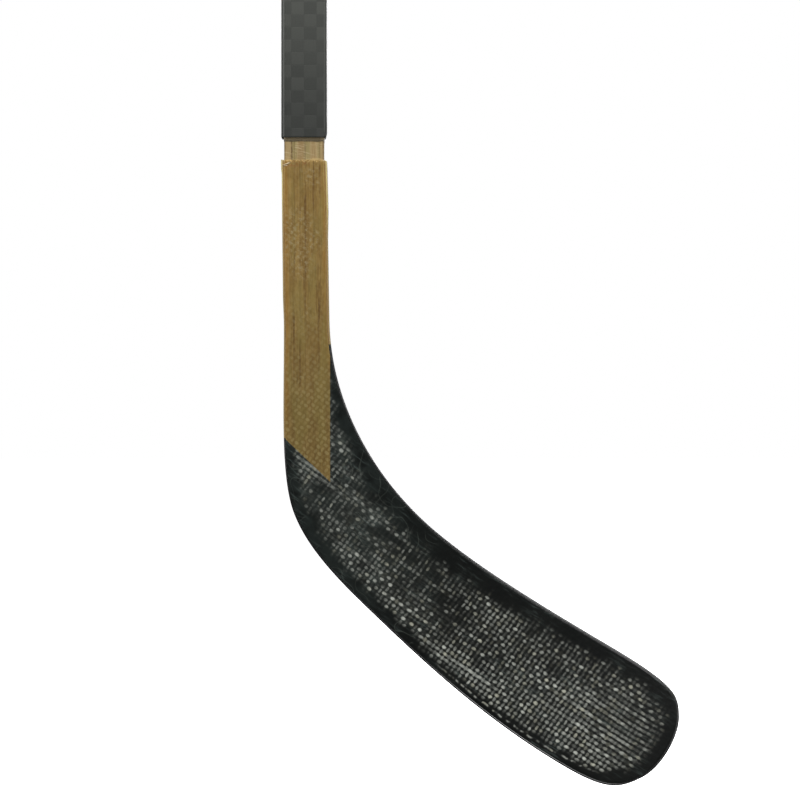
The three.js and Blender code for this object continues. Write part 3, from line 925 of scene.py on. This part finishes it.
def rim_band(points_at, steps, inner):
    """A band swept along the outline, round the rim from one laminate's edge to the other's."""
    turn = np.linspace(0, 1, 7)
    depth = SKIN + 0.3
    rings = []
    for share in steps:
        insets = np.concatenate([[inner, RIM_WIDTH], RIM_WIDTH * (1 - turn) ** 2])
        plan = points_at(np.full(len(insets), share), insets)
        middle, half = section(plan[:, 0], plan[:, 1])
        y = half - rim_drop(half, insets) - 0.2 * (insets > RIM_WIDTH * 0.8)
        y[:2] = half[:2] - depth
        front = np.stack([plan[:, 0], middle - y, plan[:, 1]], -1)
        back = np.stack([plan[:, 0], middle + y, plan[:, 1]], -1)[::-1]
        across = front[-1] + (back[0] - front[-1]) * np.linspace(0, 1, 7)[1:-1, None]
        rings.append(np.concatenate([front, across, back]))
    return np.array(rings)


def core_outline(share, inset):
    """The core's rim from the splice down the heel side, round the toe and up to the wedge's tip."""
    share = np.asarray(share, float)
    heel = heel_point(np.clip(CORE_START + share * (1 - CORE_START) * 3, 0, 1), inset)
    toe = toe_point(np.clip(share * 3 - 1, 0, 1), inset)
    throat = throat_point(np.clip(1 - (share * 3 - 2) * (1 - CORE_END), 0, 1), inset)
    pick = share[..., None] * 3
    return np.where(pick < 1, heel, np.where(pick < 2, toe, throat))


def share_at_height(line, z):
    """The share of a side curve at which it first comes down to a height."""
    return FINE[np.argmax(line[:, 1] <= z)]


CORE_START = share_at_height(HEEL_LINE, SPLICE_LEFT[1])
CORE_END = share_at_height(THROAT_LINE, WEDGE_TOP)


def blade_core():
    """The black core: its rounded rim, and the plate between the laminates."""
    shares = [np.linspace(0, 1, 330), np.linspace(1, 2, 90)[1:], np.linspace(2, 3, 330)[1:]]
    rim = rim_band(core_outline, np.concatenate(shares) / 3, 2.6)
    rim = to_frame(*np.moveaxis(rim, -1, 0))
    u, v = row_shares(6.0)[:, None], np.linspace(0, 1, 14)[None, :]
    u = u[u[:, 0] > share_at_height(HEEL_LINE, SPLICE_RIGHT[1] - 6)]
    plan = plan_point(u, v, RIM_WIDTH + 0.4)
    x, z = plan[..., 0], plan[..., 1]
    middle, half = section(x, z)
    plate = [to_frame(x, middle + side * (half - SKIN - 0.3), z) for side in (-1, 1)]
    shell = joined(tube_shell(rim), sheet_shell(*plate))
    return piece("black_core_rim", shell, core_material(), "blade", ["blade_core"])


def side_wrap(name, points_at, end, outwards, gaps, seed):
    """The glass wrapped along one side of the hosel, standing off the wood by the gaps."""
    steps = np.concatenate([np.linspace(0, 0.012, 9), np.linspace(0.012, end, 110)[1:]])
    x, y, z = np.moveaxis(rim_band(points_at, steps, RIM_WIDTH), -1, 0)
    lifted = z + shoulder_rag(x + 0.6 * y, z, seed)
    reach = x * outwards
    inset = reach.max(1, keepdims=True) - reach
    outside = np.clip(1 - inset / RIM_WIDTH, 0, 1)
    x = x + outwards * outside * np.interp(z, *np.array(gaps).T)
    torn = np.exp((z - SHOULDER) / 0.8)
    middle, half = section(x, z)
    corner = np.clip(1.5 - inset / 0.5, 0, 1) * np.clip((np.abs(y - middle) - half + 2.6) / 1.2, 0, 1)
    layers = {"edge": (corner, x * 0, torn)}
    shell = tube_shell(to_frame(x, y, lifted))
    return piece(name, shell, WRAP, "blade", ["hosel_" + name], layers)


def strip_columns(left, right, left_round, right_round):
    """X places across a wood strip, closer together where its edge is rounded."""
    columns = left + (right - left) * np.linspace(0, 1, 9)
    rounding = 1.6 * (1 - np.cos(np.linspace(0, np.pi / 2, 6)))[:-1]
    if left_round:
        columns = np.concatenate([left + rounding, columns[2:]])
    if right_round:
        columns = np.concatenate([columns[:-2], right - rounding[::-1]])
    return columns


def wood_strips():
    """The four ash laminations, from the tenon's tip to the slanting splice."""
    gap, chamfer, corner = 0.1, 0.4, TENON["corner"]
    edges = [-TENON["width"] / 2, *GLUE_LINES, TENON["width"] / 2]
    ash = raw_ash()
    tip = TENON["inside"]
    heights = [tip, tip - chamfer, *np.linspace(40, SHOULDER, 24)]
    for i, (left, right) in enumerate(zip(edges, edges[1:])):
        x = strip_columns(left + (gap if i else 0), right - (gap if i < 3 else 0), i == 0, i == 3)
        short = np.maximum(corner - (TENON["width"] / 2 - np.abs(x)), 0)
        tenon_half = TENON["depth"] / 2 - (corner - np.sqrt(corner**2 - short**2))
        rows = []
        for z in heights:
            cut = chamfer if z == tip else 0.0
            wave = 0.03 * wander(z, 9.0, 31 + i)
            rows.append((x * (1 - cut / 40), tenon_half - cut + wave, np.full(x.shape, z)))
        low = SPLICE_LEFT[1] + SPLICE_SLOPE * (x - SPLICE_LEFT[0]) + 0.3
        for share in np.linspace(0, 1, 12):
            z = SHOULDER + (low - SHOULDER) * share
            rows.append((x, section(x, z)[1] - SKIN - 0.35, z))
        x, y, z = (np.array(values) for values in zip(*rows))
        strip = sheet_shell(to_frame(x, -y, z), to_frame(x, y, z))
        stands_for = [f"hosel_lamination_{i + 1}"]
        piece(f"ash_strip_{i + 1}", strip, ash, "blade", stands_for, crease=50)


def glue_ring():
    """Hot-melt glue squeezed out round the tenon, with an uneven lower edge; its brown is partly the glue's
    own and partly painted shade under the mouth, and it is painted paler next to the mouth as painted light
    against the shaft wall's shadow.
    """
    top = TENON["inside"] - GLUE_RING["below_tip"]
    ring, inside = (
        ring_points(TENON["width"] + 2 * gap, TENON["depth"] + 2 * gap, TENON["corner"] + rounding)
        for gap, rounding in ((GLUE_RING["outer"], 0.2), (GLUE_RING["inner"], 0.05))
    )
    girth = girth_of(ring)[:-1]
    edge = -GLUE_RING["showing"] + 0.22 * wander(girth, 9.0, 41) + 0.12 * wander(girth, 2.5, 42)
    outer, inner = [], []
    for share in np.linspace(0, 1, 40) ** 1.6:
        z = edge + (top - edge) * share
        thin = 1 - 0.5 * np.exp(-share * 60)
        outer.append(to_frame(*(inside + (ring - inside) * thin).T, z))
        inner.append(to_frame(*inside.T, z))
    # Painted light: the glue is painted paler next to the mouth, against the shadow the shaft's wall casts
    # on it; its dark brown lower down is partly painted shade under the mouth.
    milky_and_painted_light = (lambda g, x, y, z: z.ease(-1.7, -0.8)), (164, 148, 116)
    glue = glue_material("hot_melt_glue", (92, 82, 62), (106, 94, 72), milky_and_painted_light)
    return piece("tenon_glue", pipe_shell(outer, inner[::-1]), glue, "blade", ["tenon_glue_film"])


def loose_fibres():
    """A few strands of glass torn loose from the laminate at the shoulder's heel side."""
    strands = (
        ((-13.8, -18.2), (-12.2, -17.7), (-10.6, -17.9), (-8.7, -16.6)),
        ((-11.3, -17.4), (-10.4, -16.9), (-9.6, -16.7), (-8.9, -15.7)),
        ((-13.9, -19.4), (-13.0, -18.7), (-12.0, -18.6), (-10.9, -18.9)),
    )
    turn = np.linspace(0, 2 * np.pi, 7)[:-1]
    shells = []
    for n, corners in enumerate(strands):
        q = np.linspace(0, 1, 15)[:, None]
        route = cubic(np.array(corners, float), q)
        _, half = section(route[:, 0], route[:, 1])
        lift = 0.1 + 0.15 * np.sin(np.pi * q[:, 0])
        radius = (0.4 - 0.06 * n) * np.sin(np.pi * (0.06 + 0.88 * q[:, 0])) ** 0.5
        x = route[:, :1] + radius[:, None] * np.cos(turn) * 0.5
        z = route[:, 1:] + radius[:, None] * np.cos(turn) * 0.85
        y = -(half + lift)[:, None] + 0.6 * radius[:, None] * np.sin(turn) + 0.05 * n
        shells.append(tube_shell(to_frame(x, y, z)))
    dry = speckled("dry_glass_fibre", (1.5, 5.0, 5.0), 3.0, (196, 172, 130), (240, 226, 196), (0.5, 0.7),
                   0.08, (0.4, 0.65))
    return piece("loose_glass_fibres", joined(*shells), dry, "blade", [])


LAMINATE = laminate_material()
WRAP = wrap_material()


def stick():
    shaft_tube()
    shaft_sleeve()
    butt_plug()
    laminate("front", -1)
    laminate("back", 1)
    blade_core()
    side_wrap("heel_side_wrap", heel_point, CORE_START, -1, HEEL_OFF, 3)
    side_wrap("throat_side_wrap", throat_point, CORE_END, 1, THROAT_OFF, 4)
    wood_strips()
    glue_ring()
    loose_fibres()
    resin = glue_material("wood_glue", (74, 52, 28), (100, 74, 42))
    for name in ("splice_glue_film", "hosel_glue_line_1", "hosel_glue_line_2", "hosel_glue_line_3"):
        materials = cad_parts[name].data.materials
        materials.clear()
        materials.append(resin)


# --- the stage ---
def camera():
    """Straight in front of the blade, two metres away, framing it and the shaft's lower end."""
    data = bpy.data.cameras.new("camera")
    data.sensor_width = 36
    data.lens = 136.2
    eye = in_scene("camera", data)
    eye.location = (0.0632, -2.0, MOUTH - 0.1728)
    eye.rotation_euler = (np.radians(90), 0, 0)
    bpy.context.scene.camera = eye


def area_light(name, place, aim, size, power):
    data = bpy.data.lights.new(name, "AREA")
    data.shape = "RECTANGLE"
    data.size, data.size_y = size
    data.energy = power
    light = in_scene(name, data)
    light.location = place
    light.rotation_euler = (Vector(aim) - Vector(place)).to_track_quat("-Z", "Y").to_euler()
    light.visible_camera = False


def lights():
    low = MOUTH - 0.2
    for lamp in (
        ("key", (0.5, -2, low + 2.2), (0.06, 0, low + 0.1), (2.2, 1.4), 88),
        ("top", (0.5, 0.9, low + 2), (0.1, 0, low + 0.1), (1.8, 1), 40),
        ("left", (-1.9, -0.9, low + 0.6), (0, 0, low + 0.3), (1, 2.4), 30),
        ("right", (2, -0.7, low + 0.7), (0, 0, low + 0.3), (1, 2.4), 18),
        ("back", (0.3, 2.3, low + 1.2), (0.05, 0, low + 0.2), (2.2, 1.6), 50),
    ):
        area_light(*lamp)


def white_room():
    """A white surround that the camera sees, with little light of its own."""
    g = Graph("white_room", "worlds")
    bpy.context.scene.world = g.owner
    seen = g.node("LightPath", {}).outputs["Is Camera Ray"]
    dim, white = (
        g.node("Background", {0: colour, 1: strength}).outputs[0]
        for colour, strength in (((0.8, 0.82, 0.84, 1), 0.14), ((1, 1, 1, 1), 1))
    )
    both = g.node("MixShader", {0: seen, 1: dim, 2: white}).outputs[0]
    g.node("OutputWorld", {"Surface": both})


def floor():
    """A plain pale floor that throws little light back up, low enough for the blade drawn out."""
    g = Graph("pale_floor")
    seen = g.node("LightPath", {}).outputs["Is Camera Ray"]
    x, y, _ = g.place()
    away = g.math("SQRT", (x - 200) ** 2 + y ** 2)
    pale = g.node("BsdfDiffuse", {"Color": (0.9, 0.9, 0.9, 1)}).outputs[0]
    strength = away.ease(60, 300, 0.8, 1)
    glow = g.node("Emission", {"Color": (1, 1, 1, 1), "Strength": strength}).outputs[0]
    lit = g.node("AddShader", {0: pale, 1: glow}).outputs[0]
    dim = g.node("BsdfDiffuse", {"Color": (0.07, 0.07, 0.07, 1)}).outputs[0]
    both = g.node("MixShader", {0: seen, 1: dim, 2: lit}).outputs[0]
    g.node("OutputMaterial", {"Surface": both})
    blade_travel, reach = 0.062, 14
    low = cad_box[0].z - blade_travel
    mesh = bpy.data.meshes.new("floor")
    corners = [(x * reach, y * reach, low) for x, y in ((-1, -1), (1, -1), (1, 1), (-1, 1))]
    mesh.from_pydata(corners, [], [(0, 1, 2, 3)])
    mesh.materials.append(g.owner)
    in_scene("floor", mesh)


camera()
stick()
lights()
white_room()
floor()
bpy.context.scene.view_settings.view_transform = "Standard"
